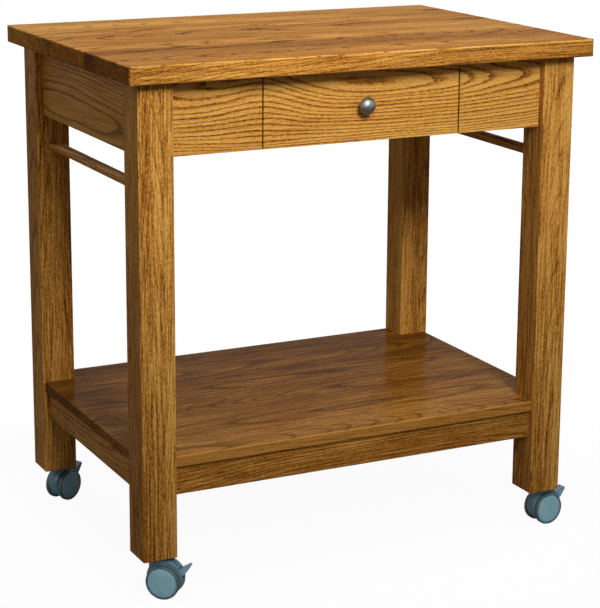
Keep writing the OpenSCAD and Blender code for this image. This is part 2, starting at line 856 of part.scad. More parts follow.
at_caster(0) wheel(1);  // fl_wheel_b
at_caster(0) tyre(1);  // fl_tyre_b
at_caster(1) hood();  // fr_hood
at_caster(1) axle();  // fr_axle
at_caster(1) lever();  // fr_lever
at_caster(1) wheel(-1);  // fr_wheel_a
at_caster(1) tyre(-1);  // fr_tyre_a
at_caster(1) wheel(1);  // fr_wheel_b
at_caster(1) tyre(1);  // fr_tyre_b
at_caster(2) hood();  // bl_hood
at_caster(2) axle();  // bl_axle
at_caster(2) lever();  // bl_lever
at_caster(2) wheel(-1);  // bl_wheel_a
at_caster(2) tyre(-1);  // bl_tyre_a
at_caster(2) wheel(1);  // bl_wheel_b
at_caster(2) tyre(1);  // bl_tyre_b
at_caster(3) hood();  // br_hood
at_caster(3) axle();  // br_axle
at_caster(3) lever();  // br_lever
at_caster(3) wheel(-1);  // br_wheel_a
at_caster(3) tyre(-1);  // br_tyre_a
at_caster(3) wheel(1);  // br_wheel_b
at_caster(3) tyre(1);  // br_tyre_b
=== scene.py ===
"""Looks of an oak kitchen trolley: stained boards, a dark metal knob and twin-wheel casters."""

import logging
import math
from dataclasses import dataclass
from enum import Enum

import bpy
from mathutils import Matrix, Vector


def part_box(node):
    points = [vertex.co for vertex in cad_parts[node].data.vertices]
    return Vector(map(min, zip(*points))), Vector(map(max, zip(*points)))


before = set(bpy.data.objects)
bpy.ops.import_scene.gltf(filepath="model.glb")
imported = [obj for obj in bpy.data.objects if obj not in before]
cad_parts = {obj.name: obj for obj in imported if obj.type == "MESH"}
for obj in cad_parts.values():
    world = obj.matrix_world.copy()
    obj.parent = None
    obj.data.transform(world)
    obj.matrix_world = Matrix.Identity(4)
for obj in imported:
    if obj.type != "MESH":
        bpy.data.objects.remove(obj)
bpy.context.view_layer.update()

log = logging.getLogger("trolley")

Socket = bpy.types.NodeSocket
Value = float | Socket
Colour = tuple[float, float, float]

class Lay(Enum):
    """Which coordinates run along, across and through a board: x is 0, y is 1, z is 2."""

    TOP = (0, 1, 2)
    FRONT = (0, 2, 1)
    END = (1, 2, 0)
    POST = (2, 0, 1)
    ROD = (1, 0, 2)


class Stain(Enum):
    """Colours of the wood from the clear late wood to the open pores, in linear light."""

    HONEY = ((0.72, 0.398, 0.094), (0.53, 0.236, 0.041), (0.30, 0.116, 0.017), (0.12, 0.043, 0.010))
    # This darker, redder copy of the honey stain is painted shade, for the parts under the top
    HONEY_IN_SHADE = ((0.64, 0.315, 0.070), (0.37, 0.155, 0.024), (0.21, 0.080, 0.011), (0.11, 0.038, 0.005))
    BARE = ((0.66, 0.48, 0.28), (0.58, 0.40, 0.22), (0.46, 0.30, 0.15), (0.30, 0.18, 0.08))


class Graph:
    """The nodes of one material, wired by short calls."""

    MIX_COLOURS = (6, 7)
    MIX_RESULT = 2

    def __init__(self, name: str) -> None:
        """Starts a material that holds a principled shader and its output.

        Args:
            name: the material's name.
        """
        self.material = bpy.data.materials.new(name)
        self.material.use_nodes = True
        self.tree = self.material.node_tree
        self.tree.nodes.clear()
        output = self.node("ShaderNodeOutputMaterial")
        self.shader = self.node("ShaderNodeBsdfPrincipled")
        self.tree.links.new(self.shader.outputs[0], output.inputs[0])

    def node(self, kind: str, **settings: object) -> bpy.types.Node:
        """Adds a node.

        Args:
            kind: the node's type.
            settings: properties to set on it.

        Returns:
            The new node.
        """
        made = self.tree.nodes.new(kind)
        for key, value in settings.items():
            setattr(made, key, value)
        return made

    def feed(self, socket: Socket, value: object) -> None:
        """Links a socket to another one, or sets its value.

        Args:
            socket: the input to fill.
            value: an output socket, a number or a tuple.
        """
        if isinstance(value, bpy.types.NodeSocket):
            self.tree.links.new(value, socket)
        else:
            socket.default_value = value

    def math(self, operation: str, a: Value, b: Value = 0.0, clamp: bool = False) -> Socket:
        """Works out a value from one or two others.

        Args:
            operation: the sum's name, such as ADD.
            a: first value.
            b: second value, where the sum has one.
            clamp: True to hold the result between 0 and 1.

        Returns:
            The result's socket.
        """
        made = self.node("ShaderNodeMath", operation=operation, use_clamp=clamp)
        self.feed(made.inputs[0], a)
        self.feed(made.inputs[1], b)
        return made.outputs[0]

    def blend(self, parts: list[tuple[float, Socket]], start: float = 0.0) -> Socket:
        """Adds up several values, each with its own weight.

        Args:
            parts: weight and value of each.
            start: what the sum starts from.

        Returns:
            The sum's socket.
        """
        total: Value = start
        for weight, value in parts:
            total = self.math("ADD", self.math("MULTIPLY", value, weight), total)
        return total

    def point(self, x: Value, y: Value, z: Value) -> Socket:
        """Joins three values into a vector.

        Args:
            x: its first value.
            y: its second value.
            z: its third value.

        Returns:
            The vector's socket.
        """
        made = self.node("ShaderNodeCombineXYZ")
        for socket, value in zip(made.inputs, (x, y, z)):
            self.feed(socket, value)
        return made.outputs[0]

    def split(self, vector: Socket) -> list[Socket]:
        """Parts a vector into its three values.

        Args:
            vector: the vector's socket.

        Returns:
            The three values' sockets.
        """
        made = self.node("ShaderNodeSeparateXYZ")
        self.feed(made.inputs[0], vector)
        return list(made.outputs)

    def vector(self, operation: str, a: object, b: object = (0.0, 0.0, 0.0)) -> bpy.types.Node:
        """Works out a vector sum.

        Args:
            operation: the sum's name, such as ADD or LENGTH.
            a: first vector.
            b: second vector.

        Returns:
            The node, whose outputs are the vector and the value.
        """
        made = self.node("ShaderNodeVectorMath", operation=operation)
        self.feed(made.inputs[0], a)
        self.feed(made.inputs[1], b)
        return made

    def noise(self, vector: Socket, scale: float, detail: float = 3.0,
              roughness: float = 0.5) -> bpy.types.Node:
        """Adds a noise texture.

        Args:
            vector: where it is read.
            scale: its fineness.
            detail: how many finer layers it has.
            roughness: how strong those layers are.

        Returns:
            The node, whose outputs are the value and a colour.
        """
        made = self.node("ShaderNodeTexNoise")
        self.feed(made.inputs["Vector"], vector)
        made.inputs["Scale"].default_value = scale
        made.inputs["Detail"].default_value = detail
        made.inputs["Roughness"].default_value = roughness
        return made

    def ramp(self, value: Socket, stops: list[tuple[float, tuple[float, ...]]],
             smooth: bool = False) -> Socket:
        """Maps a value to colours.

        Args:
            value: what is mapped.
            stops: position and colour of each stop.
            smooth: True to ease between the stops.

        Returns:
            The colour's socket.
        """
        made = self.node("ShaderNodeValToRGB")
        made.color_ramp.interpolation = "EASE" if smooth else "LINEAR"
        elements = made.color_ramp.elements
        while len(elements) < len(stops):
            elements.new(0.5)
        for element, (position, colour) in zip(elements, stops):
            element.position = position
            element.color = (*colour, 1.0)
        self.feed(made.inputs[0], value)
        return made.outputs[0]

    def level(self, value: Socket, stops: list[tuple[float, float]],
              smooth: bool = False) -> Socket:
        """Maps a value to another value, as ramp() does to colours."""
        return self.ramp(value, [(at, (grey,) * 3) for at, grey in stops], smooth)

    def tint(self, colour: object, other: object, factor: Value, how: str = "MIX") -> Socket:
        """Mixes two colours.

        Args:
            colour: the colour at factor 0.
            other: the colour at factor 1.
            factor: how much of the other.
            how: the way they mix.

        Returns:
            The mixed colour's socket.
        """
        made = self.node("ShaderNodeMix", data_type="RGBA", blend_type=how)
        self.feed(made.inputs[0], factor)
        self.feed(made.inputs[self.MIX_COLOURS[0]], colour)
        self.feed(made.inputs[self.MIX_COLOURS[1]], other)
        return made.outputs[self.MIX_RESULT]

    def spread(self, value: Socket, low: float = 0.36, high: float = 0.64) -> Socket:
        """Widens a noise, which keeps close to its middle, to the whole range from 0 to 1."""
        return self.level(value, [(low, 0.0), (high, 1.0)])

    def bump(self, height: Socket, depth: float, strength: float = 1.0) -> None:
        """Raises the surface by a height.

        Args:
            height: the height, from 0 to 1.
            depth: how deep 1 is, in metres.
            strength: how much of it shows.
        """
        made = self.node("ShaderNodeBump")
        made.inputs["Strength"].default_value = strength
        made.inputs["Distance"].default_value = depth
        self.feed(made.inputs["Height"], height)
        self.feed(self.shader.inputs["Normal"], made.outputs[0])

    def place(self) -> Socket:
        """Where a point lies in the trolley's own frame, in metres."""
        return self.node("ShaderNodeTexCoord").outputs["Object"]


@dataclass(frozen=True)
class Figure:
    """A noise that is drawn out along the grain.

    Attributes:
        squeeze: what places along the grain are multiplied by.
        scale: its fineness.
        detail: how many finer layers it has.
        roughness: how strong those layers are.
    """

    squeeze: float
    scale: float
    detail: float
    roughness: float

    def noise(self, g: Graph, along: Socket, across: Socket, through: Socket) -> bpy.types.Node:
        """Adds the noise to a graph.

        Args:
            g: the graph being built.
            along: place along the grain, which is squeezed so that the noise is drawn out.
            across: place across the board.
            through: place through the board.

        Returns:
            The noise's node.
        """
        at = g.point(g.math("MULTIPLY", along, self.squeeze), across, through)
        return g.noise(at, self.scale, self.detail, self.roughness)


BEND = Figure(0.22, 21.0, 2.0, 0.45)
RIPPLE = Figure(0.5, 190.0, 2.0, 0.6)
FIBRES = Figure(0.04, 260.0, 3.0, 0.75)
DASHES = Figure(0.20, 600.0, 1.0, 0.5)
FLECKS = Figure(0.40, 430.0, 2.0, 0.7)
CLOUDS = Figure(0.10, 17.0, 4.0, 0.6)
REDNESS = Figure(0.2, 13.0, 2.0, 0.5)


@dataclass(frozen=True)
class Oak:
    """Stained oak with growth rings that are cut as a saw cuts them.

    The rings are shells round the log's heart. A shell is much longer than it is wide, so a
    face close to the heart shows closed islands and arches, and one far off shows lines.

    Attributes:
        name: the material's name.
        lay: how the grain runs.
        stain: the colours of the wood.
        strip: width of a glued strip, in metres. A single board has one strip a metre wide.
        strip_start: where the first strip starts, across the board.
        heart: the log's heart, along, across from the strip's middle, and through.
        wander: how far chance moves the heart from strip to strip.
        crest: a swelling of the rings: its place along, its width, height and foot.
        ring: width of a year's growth, in metres.
        ring_spread: how much that width differs from strip to strip.
        early: the early wood's share of a year.
        taper: how much slower the rings run along the log than round it.
        warp: how far the rings are bent, in metres.
        seed: where the chance values start.
        bands: how much darker the early wood is.
        pores: how much darker the pores are.
        streaks: contrast of the fibres.
        flecks: contrast of the short flecks.
        clouds: contrast of the broad clouds.
        tone: how much the strips differ.
        base: the whole board's darkness.
        seam: how dark the glue lines are.
        rough: roughness of the lacquer.
        ends: how much darker a sawn end is.
        painted_edge_light: painted light or shade on a long edge face: how much darker it is drawn,
            lighter where negative.
        relief: how strongly the grain is felt.
        red: how red the red patches are.
        gloss: the shader's specular level.
        arris_highlight: a painted highlight along a front arris: its place across and through, and
            how much paler it is drawn.
    """

    STRIP_SHIFT = 3.7
    CREST_STEEP = 9.0
    RIPPLE_SHARE = 0.30
    YEAR_SCALE = 0.3
    YEAR_SPREAD = 2.2
    PORE_CROWD = 0.20
    PORE_CUT = -0.65
    PORE_STEEP = 9.0
    FACING = 0.75
    ARRIS_R = 0.0024
    GLUE_HALF_W = 0.0004
    RELIEF_DEPTH = 0.0004
    RED_TINT = (1.0, 0.82, 0.62, 1.0)
    AMBER_SHEEN = (1.0, 0.76, 0.45, 1.0)

    name: str
    lay: Lay
    stain: Stain = Stain.HONEY
    strip: float = 1.0
    strip_start: float = 0.0
    heart: tuple[float, float, float] = (0.0, 0.0, 0.0)
    wander: tuple[float, float, float] = (0.0, 0.0, 0.0)
    crest: tuple[float, float, float, float] = (0.0, 0.1, 0.0, 0.0)
    ring: float = 0.0046
    ring_spread: float = 0.0
    early: float = 0.46
    taper: float = 0.11
    warp: float = 0.008
    seed: float = 0.0
    bands: float = 0.38
    pores: float = 0.34
    streaks: float = 0.34
    flecks: float = 0.28
    clouds: float = 0.24
    tone: float = 0.12
    base: float = 0.27
    seam: float = 0.35
    rough: float = 0.38
    ends: float = 0.30
    painted_edge_light: float = 0.0
    relief: float = 0.6
    red: float = 0.40
    gloss: float = 0.03
    arris_highlight: tuple[float, float, float] = (0.0, 0.0, 0.0)

    def rings(self, g: Graph, along: Socket, across: Socket, through: Socket,
              count: Socket, chance: list[Socket]) -> Socket:
        """Measures how far through its year the wood is at each point.

        Args:
            g: the graph being built.
            along: place along the grain.
            across: place across the board.
            through: place through the board.
            count: place across the board in glued strips.
            chance: three chance values of the strip.

        Returns:
            The share of the year, from 0 in early spring to 1 in the next.
        """
        strip = g.math("FLOOR", count)
        middle = g.math("ADD", g.math("MULTIPLY", g.math("ADD", strip, 0.5), self.strip),
                        self.strip_start)
        bases = (self.heart[0], g.math("ADD", middle, self.heart[1]), self.heart[2])
        hearts = [g.math("ADD", g.math("MULTIPLY", g.math("SUBTRACT", by_chance, 0.5), reach), base)
                  for by_chance, reach, base in zip(chance, self.wander, bases)]
        crest_at, crest_width, crest_height, crest_foot = self.crest
        aside = g.math("DIVIDE", g.math("SUBTRACT", along, crest_at), crest_width)
        bell = g.math("DIVIDE", crest_height, g.math("ADD", g.math("MULTIPLY", aside, aside), 1.0))
        rise = g.math("MULTIPLY", g.math("SUBTRACT", across, crest_foot), self.CREST_STEEP,
                      clamp=True)
        bell = g.math("MULTIPLY", bell, rise)
        here = g.point(
            g.math("MULTIPLY", g.math("SUBTRACT", along, hearts[0]), self.taper),
            g.math("SUBTRACT", g.math("SUBTRACT", across, bell), hearts[1]),
            g.math("SUBTRACT", through, hearts[2]))
        own = g.math("ADD", across, g.math("MULTIPLY", strip, self.STRIP_SHIFT))
        slow = BEND.noise(g, along, own, through)
        push = g.vector("SUBTRACT", slow.outputs["Color"], (0.5,) * 3)
        push = g.vector("MULTIPLY", push.outputs[0], (self.warp,) * 3)
        bent = g.vector("ADD", here, push.outputs[0])
        ripple = RIPPLE.noise(g, along, across, through).outputs[0]
        small = g.math("MULTIPLY", ripple, self.RIPPLE_SHARE * self.ring)
        radius = g.math("ADD", g.vector("LENGTH", bent.outputs[0]).outputs["Value"], small)
        density = g.blend([(self.ring_spread, chance[2])], 1.0 - 0.5 * self.ring_spread)
        years = g.math("MULTIPLY", g.math("DIVIDE", radius, self.ring), density)
        uneven = g.noise(g.point(g.math("MULTIPLY", years, self.YEAR_SCALE), self.seed, 0.0),
                         1.0, 1.0)
        years = g.math("ADD", years, g.math("MULTIPLY", uneven.outputs[0], self.YEAR_SPREAD))
        return g.math("FRACT", years)

    def build(self) -> bpy.types.Material:
        """Makes the finish.

        Returns:
            The material.
        """
        g = Graph(self.name)
        axes = g.split(g.place())
        along, across, through = (axes[i] for i in self.lay.value)
        count = g.math("DIVIDE", g.math("SUBTRACT", across, self.strip_start), self.strip)
        white = g.node("ShaderNodeTexWhiteNoise", noise_dimensions="1D")
        g.feed(white.inputs["W"], g.math("ADD", g.math("FLOOR", count), self.seed))
        chance = g.split(white.outputs["Color"])
        season = self.rings(g, along, across, through, count, chance)
        spring = g.math("DIVIDE", season, self.early, clamp=True)
        early = g.level(spring, [(0.0, 1.0), (0.35, 0.80), (0.70, 0.22), (1.0, 0.0)])

        # Fibres and pores are long and thin, and the pores crowd into the early wood
        board = (g, along, across, through)
        fibres = g.spread(FIBRES.noise(*board).outputs[0])
        dashes = DASHES.noise(*board).outputs[0]
        crowd = g.blend([(self.PORE_CROWD, early)], self.PORE_CUT)
        pore = g.math("MULTIPLY", g.math("ADD", dashes, crowd), self.PORE_STEEP, clamp=True)
        flecks = g.spread(FLECKS.noise(*board).outputs[0])
        cloud = g.spread(CLOUDS.noise(*board).outputs[0], 0.28, 0.72)

        # A sawn end drinks more stain than a side. A long edge face gets painted light or shade,
        # drawn lighter or darker as light would fall on it
        facing = g.split(g.node("ShaderNodeTexCoord").outputs["Normal"])
        end, edge_face = (g.math("GREATER_THAN", g.math("ABSOLUTE", facing[i]), self.FACING)
                          for i in self.lay.value[:2])

        # A painted highlight: the front arris is drawn paler, as if it caught the light
        arris_across, arris_through, highlight_share = self.arris_highlight
        corner = g.vector("LENGTH", g.point(g.math("SUBTRACT", across, arris_across),
                                            g.math("SUBTRACT", through, arris_through), 0.0))
        arris_glint = g.math("LESS_THAN", corner.outputs["Value"], self.ARRIS_R)

        # The arris term lightens the arris as a painted highlight
        dark = g.blend([
            (-highlight_share, arris_glint), (self.bands, early), (self.pores, pore), (self.streaks, fibres),
            # The edge term paints light or shade on the long edge faces
            (self.ends, end), (self.painted_edge_light, edge_face),
            (self.flecks, flecks), (self.clouds, cloud), (self.tone, chance[1])],
            self.base - 0.5 * (self.streaks + self.flecks + self.clouds + self.tone))
        late, mid, low, deep = self.stain.value
        colour = g.ramp(dark, [(0.0, late), (0.36, mid), (0.70, low), (1.0, deep)])

        # The stain runs redder in patches
        patch = g.spread(REDNESS.noise(*board).outputs[0], 0.32, 0.68)
        colour = g.tint(colour, self.RED_TINT, g.math("MULTIPLY", patch, self.red), "MULTIPLY")

        # The glue line between two strips
        edge = g.math("ABSOLUTE", g.math("SUBTRACT", g.math("FRACT", count), 0.5))
        line = g.math("GREATER_THAN", edge, 0.5 - self.GLUE_HALF_W / self.strip)
        colour = g.tint(colour, low + (1.0,), g.math("MULTIPLY", line, self.seam))

        g.feed(g.shader.inputs["Base Color"], colour)
        g.feed(g.shader.inputs["Roughness"],
               g.blend([(0.20, pore), (0.06, fibres), (0.05, cloud)], self.rough - 0.05))
        g.shader.inputs["Specular IOR Level"].default_value = self.gloss
        g.shader.inputs["Specular Tint"].default_value = self.AMBER_SHEEN
        height = g.blend([(-0.6, pore), (-0.2, early), (-0.3, fibres)], 1.0)
        g.bump(height, self.RELIEF_DEPTH, self.relief)
        return g.material


@dataclass(frozen=True)
class Plastic:
    """Moulded plastic with a fine spark-eroded texture and a little scuffing.

    Attributes:
        name: the material's name.
        colour: its colour, in linear light.
        rough: its roughness.
        grain: fineness of the texture.
        depth: depth of the texture, in metres.
        scuff: how much paler the scuffed places are.
    """

    name: str
    colour: Colour
    rough: float = 0.42
    grain: float = 2600.0
    depth: float = 0.00004
    scuff: float = 0.25

    def build(self) -> bpy.types.Material:
        """Makes the finish.

        Returns:
            The material.
        """
        g = Graph(self.name)
        at = g.place()
        fine = g.noise(at, self.grain, 2.0, 0.6).outputs[0]
        broad = g.noise(at, 55.0, 3.0, 0.6).outputs[0]
        worn = g.level(broad, [(0.45, 0.0), (0.75, 1.0)], smooth=True)
        light = tuple(min(1.0, c * 1.35 + 0.01) for c in self.colour) + (1.0,)
        deep = tuple(c * 0.82 for c in self.colour) + (1.0,)
        base = g.tint(deep, self.colour + (1.0,), g.level(fine, [(0.3, 0.0), (0.6, 1.0)]))
        g.feed(g.shader.inputs["Base Color"],
               g.tint(base, light, g.math("MULTIPLY", worn, self.scuff)))
        g.feed(g.shader.inputs["Roughness"],
               g.blend([(0.10, fine), (0.10, worn)], self.rough - 0.08))
        g.bump(fine, self.depth, 0.4)
        return g.material


@dataclass(frozen=True)
class Metal:
    """Metal with a drawn or lacquered skin.

    Attributes:
        name: the material's name.
        colour: its colour, in linear light.
        metallic: the shader's metallic value.
        rough: its roughness.
        brushed: how uneven the roughness is.
        grain: fineness of the texture.
        depth: depth of the texture, in metres.
    """

    name: str
    colour: Colour
    metallic: float = 1.0
    rough: float = 0.3
    brushed: float = 0.2
    grain: float = 1500.0
    depth: float = 0.00002

    def build(self) -> bpy.types.Material:
        """Makes the finish.

        Returns:
            The material.
        """
        g = Graph(self.name)
        at = g.place()
        fine = g.noise(at, self.grain, 3.0, 0.6).outputs[0]
        broad = g.noise(at, 90.0, 2.0, 0.5).outputs[0]
        light = tuple(min(1.0, c * 1.2) for c in self.colour) + (1.0,)
        g.feed(g.shader.inputs["Base Color"], g.tint(self.colour + (1.0,), light, broad))
        g.feed(g.shader.inputs["Roughness"],
               g.blend([(self.brushed, fine), (0.1, broad)], self.rough - 0.5 * self.brushed))
        g.shader.inputs["Metallic"].default_value = self.metallic
        g.bump(fine, self.depth, 0.3)
        return g.material


def dress(node: str, finish: bpy.types.Material) -> None:
    """Gives a CAD node its finish and reports it.

    Args:
        node: the node's name.
        finish: its material.
    """
    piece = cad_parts[node]
    piece.data.materials.clear()
    piece.data.materials.append(finish)
    log.info("%s: %s", node, finish.name)


@dataclass
class Worktop:
    """The thick glued top and the screws that hold it."""

    plank: float = 0.104
    start: float = -0.31
    heart_z: float = 0.80
    ring: float = 0.0046

    def finish(self) -> bpy.types.Material:
        """Makes the top's oak: planks side by side, each from another log.

        Returns:
            The material.
        """
        low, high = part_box("table_top")
        # The arris value paints a highlight along the top's front arris
        # The edge value paints the top's long edge faces lighter, as light falls on them
        return Oak("worktop_oak", Lay.TOP, strip=self.plank, strip_start=self.start,
                   heart=(0.0, 0.0, self.heart_z), wander=(1.3, 0.16, 0.10), ring=self.ring,
                   seed=3.0, ring_spread=0.6, early=0.30, bands=0.34, pores=0.32,
                   streaks=0.52, flecks=0.34, clouds=0.46, tone=0.58, base=0.42,
                   painted_edge_light=-0.12, gloss=0.002, arris_highlight=(low.y, high.z, 0.34)).build()

    def build(self, steel: bpy.types.Material) -> None:
        """Dresses the top.

        Args:
            steel: the screws' finish.
        """
        dress("table_top", self.finish())
        dress("top_screws", steel)


@dataclass
class Legs:
    """Four square legs, each glued from three upright strips."""

    strip: float = 0.0225
    ring: float = 0.0036
    heart_x: float = 0.45
    heart_behind: float = 0.05
    names: tuple[str, ...] = ("front_left", "front_right", "back_left", "back_right")
    seeds: tuple[float, ...] = (379.0, 870.0, 285.0, 576.0)

    def build(self) -> None:
        """Dresses each leg with strips of its own."""
        for name, seed in zip(self.names, self.seeds):
            low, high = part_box("leg_" + name)
            middle = (low + high) / 2
            oak = Oak("oak_" + name, Lay.POST, strip=self.strip, strip_start=low.x,
                      heart=(self.heart_x, 0.0, middle.y + self.heart_behind),
                      wander=(0.8, 0.30, 0.12), ring=self.ring, ring_spread=1.1, warp=0.007,
                      seed=seed, early=0.36, bands=0.24, pores=0.22, streaks=0.66,
                      flecks=0.44, clouds=0.50, tone=0.42, seam=0.20, base=0.37, red=0.2)
            dress("leg_" + name, oak.build())


@dataclass
class Apron:
    """The apron boards, and the drawer front that is cut from the front one."""

    heart_height: float = 0.862
    heart_depth: float = 0.020
    island_x: float = -0.0175
    ring: float = 0.0052
    crest: tuple[float, float, float, float] = (-0.19, 0.10, 0.042, 0.775)
    end_depth: float = 0.34

    def build(self) -> None:
        """Dresses the front as one board, and the other boards each by itself."""
        low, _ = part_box("apron_front_left")
        front = Oak("front_oak", Lay.FRONT, strip_start=self.heart_height - 0.5,
                    heart=(self.island_x, 0.0, low.y + self.heart_depth), ring=self.ring,
                    taper=0.10, crest=self.crest, seed=5.0, early=0.52, bands=0.56,
                    pores=0.28, streaks=0.30, flecks=0.32, tone=0.0, seam=0.0,
                    base=0.11).build()
        for node in ("apron_front_left", "apron_front_right", "drawer_front"):
            dress(node, front)
        back = Oak("back_oak", Lay.FRONT, strip_start=0.34,
                   heart=(0.2, 0.0, 0.50), ring=0.0048, seed=8.0)
        dress("apron_back", back.build())
        for side, depth in (("left", -self.end_depth), ("right", self.end_depth)):
            end = Oak("end_oak_" + side, Lay.END, strip_start=0.30,
                      heart=(0.05, 0.0, depth), seed=self.end_depth + 13.0)
            dress("apron_" + side, end.build())


@dataclass
class InnerFrame:
    """Rails, runners and braces behind the apron, in bare wood."""

    ring: float = 0.004
    bands: float = 0.2

    def build(self) -> None:
        """Dresses the hidden woodwork."""
        rails = Oak("rail_wood", Lay.TOP, Stain.BARE, strip_start=-0.8,
                    heart=(0.1, 0.0, 0.7), ring=self.ring, seed=2.0, bands=self.bands)
        runners = Oak("runner_wood", Lay.END, Stain.BARE, strip_start=0.25,
                      heart=(0.0, 0.0, 0.1), ring=self.ring, seed=6.0, bands=self.bands)
        rail_wood, runner_wood = rails.build(), runners.build()
        for node in ("rail_upper", "rail_lower"):
            dress(node, rail_wood)
        for node in ("runner_left", "runner_right", "corner_braces"):
            dress(node, runner_wood)


@dataclass
class Drawer:
    """The dovetailed drawer box with its knob."""

    ring: float = 0.004
    panel_ring: float = 0.006
    bands: float = 0.2

    def build(self, steel: bpy.types.Material, gunmetal: bpy.types.Material) -> None:
        """Dresses the box and the knob.

        Args:
            steel: the screw's finish.
            gunmetal: the knob's finish.
        """
        sides = Oak("drawer_side_wood", Lay.END, Stain.BARE, strip_start=0.32,
                    heart=(0.0, 0.0, 0.05), ring=self.ring, seed=17.0, bands=self.bands)
        back = Oak("drawer_back_wood", Lay.FRONT, Stain.BARE, strip_start=0.32,
                   heart=(0.0, 0.0, 0.1), ring=self.ring, seed=19.0, bands=self.bands)
        panel = Oak("drawer_bottom_wood", Lay.TOP, Stain.BARE, strip_start=-0.5,
                    heart=(0.0, 0.0, 0.74), ring=self.panel_ring, seed=29.0, bands=self.bands)
        side_wood, back_wood, panel_wood = sides.build(), back.build(), panel.build()
        dress("drawer_side_left", side_wood)
        dress("drawer_side_right", side_wood)
        dress("drawer_back", back_wood)
        dress("drawer_bottom", panel_wood)
        dress("knob", gunmetal)
        dress("knob_screw", steel)


@dataclass
class TowelBars:
    """The two turned bars at the ends."""

    ring: float = 0.0035
    heart: tuple[float, float, float] = (0.0, 0.05, 0.66)

    def build(self) -> None:
        """Dresses both bars."""
        for side in ("left", "right"):
            low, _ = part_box("towel_bar_" + side)
            bar = Oak("bar_oak_" + side, Lay.ROD, strip_start=low.x - 0.5,
                      heart=self.heart, ring=self.ring, seed=low.x + 41.0)
            dress("towel_bar_" + side, bar.build())


@dataclass
class LowerShelf:
    """The low shelf and the stretchers that carry it."""

    plank: float = 0.093
    ring: float = 0.0042
    heart_below: float = 0.09
    stretcher_ring: float = 0.0038

    def build(self) -> None:
        """Dresses the shelf's planks and the four stretchers."""
        low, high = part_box("shelf")
        # The arris value paints a highlight along the shelf's front arris
        # The edge value paints the shelf's long edge faces lighter, as light falls on them
        # The shaded stain and the high base paint the shade that falls under the top into the
        # shelf's colour
        shelf = Oak("shelf_oak", Lay.TOP, Stain.HONEY_IN_SHADE, strip=self.plank, strip_start=low.y,
                    heart=(0.0, 0.0, high.z - self.heart_below), wander=(1.2, 0.08, 0.05),
                    ring=self.ring, seed=234.0, ring_spread=0.6, early=0.30, bands=0.32, pores=0.30,
                    streaks=0.62, clouds=0.34, tone=0.70, base=0.51, rough=0.17,
                    painted_edge_light=-0.31, relief=0.25, gloss=0.005, arris_highlight=(low.y, high.z, 0.60))
        dress("shelf", shelf.build())
        # The stretchers take the same stain, painted shade as well
        stretchers = (("front", Lay.FRONT, 70.0, 0.53), ("back", Lay.FRONT, 71.0, 0.53),
                      ("left", Lay.END, 80.0, 0.45), ("right", Lay.END, 81.0, 0.45))
        for name, lay, seed, below in stretchers:
            box_low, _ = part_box("stretcher_" + name)
            oak = Oak("stretcher_oak_" + name, lay, Stain.HONEY_IN_SHADE, strip_start=box_low.z - below,
                      heart=(0.1, 0.0, box_low[lay.value[2]] + 0.05),
                      ring=self.stretcher_ring, seed=seed, bands=0.30, streaks=0.46, tone=0.0)
            dress("stretcher_" + name, oak.build())


@dataclass
class Casters:
    """Four twin-wheel casters."""

    corners: tuple[str, ...] = ("fl", "fr", "bl", "br")

    def build(self, steel: bpy.types.Material) -> None:
        """Dresses the casters' pieces.

        Args:
            steel: the finish of the stems, sockets and axles.
        """
        housing = Plastic("caster_nylon", (0.16, 0.31, 0.38), rough=0.34).build()
        pedal = Plastic("pedal_nylon", (0.33, 0.55, 0.74), rough=0.34).build()
        disc = Plastic("wheel_nylon", (0.39, 0.70, 0.80), rough=0.30, scuff=0.15).build()
        tyre = Plastic("tyre_rubber", (0.095, 0.155, 0.155), rough=0.48, depth=0.00006).build()
        dress("caster_sockets", steel)
        dress("caster_stems", steel)
        for corner in self.corners:
            dress(corner + "_hood", housing)
            dress(corner + "_lever", pedal)
            dress(corner + "_axle", steel)
            for wheel in "ab":
                dress(f"{corner}_wheel_{wheel}", disc)
                dress(f"{corner}_tyre_{wheel}", tyre)


@dataclass(frozen=True)
class Lamp:
    """A soft square lamp that looks at a point on the trolley's upright axis.

    Attributes:
        name: its name.
        place: where it hangs, in metres.
        size: the length of its side.
        power: its power in watts.
        aim_z: how high it aims.
        spread: how wide its light opens, in degrees.
    """

    name: str
    place: tuple[float, float, float]
    size: float
    power: float
    aim_z: float = 0.45
    spread: float = 180.0

    def hang(self) -> None:
        """Adds the lamp to the scene."""
        data = bpy.data.lights.new(self.name, "AREA")
        data.size = self.size
        data.energy = self.power
        data.spread = math.radians(self.spread)
        lamp = bpy.data.objects.new(self.name, data)
        lamp.location = self.place
        aim = Vector((0.0, 0.0, self.aim_z)) - Vector(self.place)
        lamp.rotation_mode = "QUATERNION"
        lamp.rotation_quaternion = aim.to_track_quat("-Z", "Y")
        bpy.context.scene.collection.objects.link(lamp)


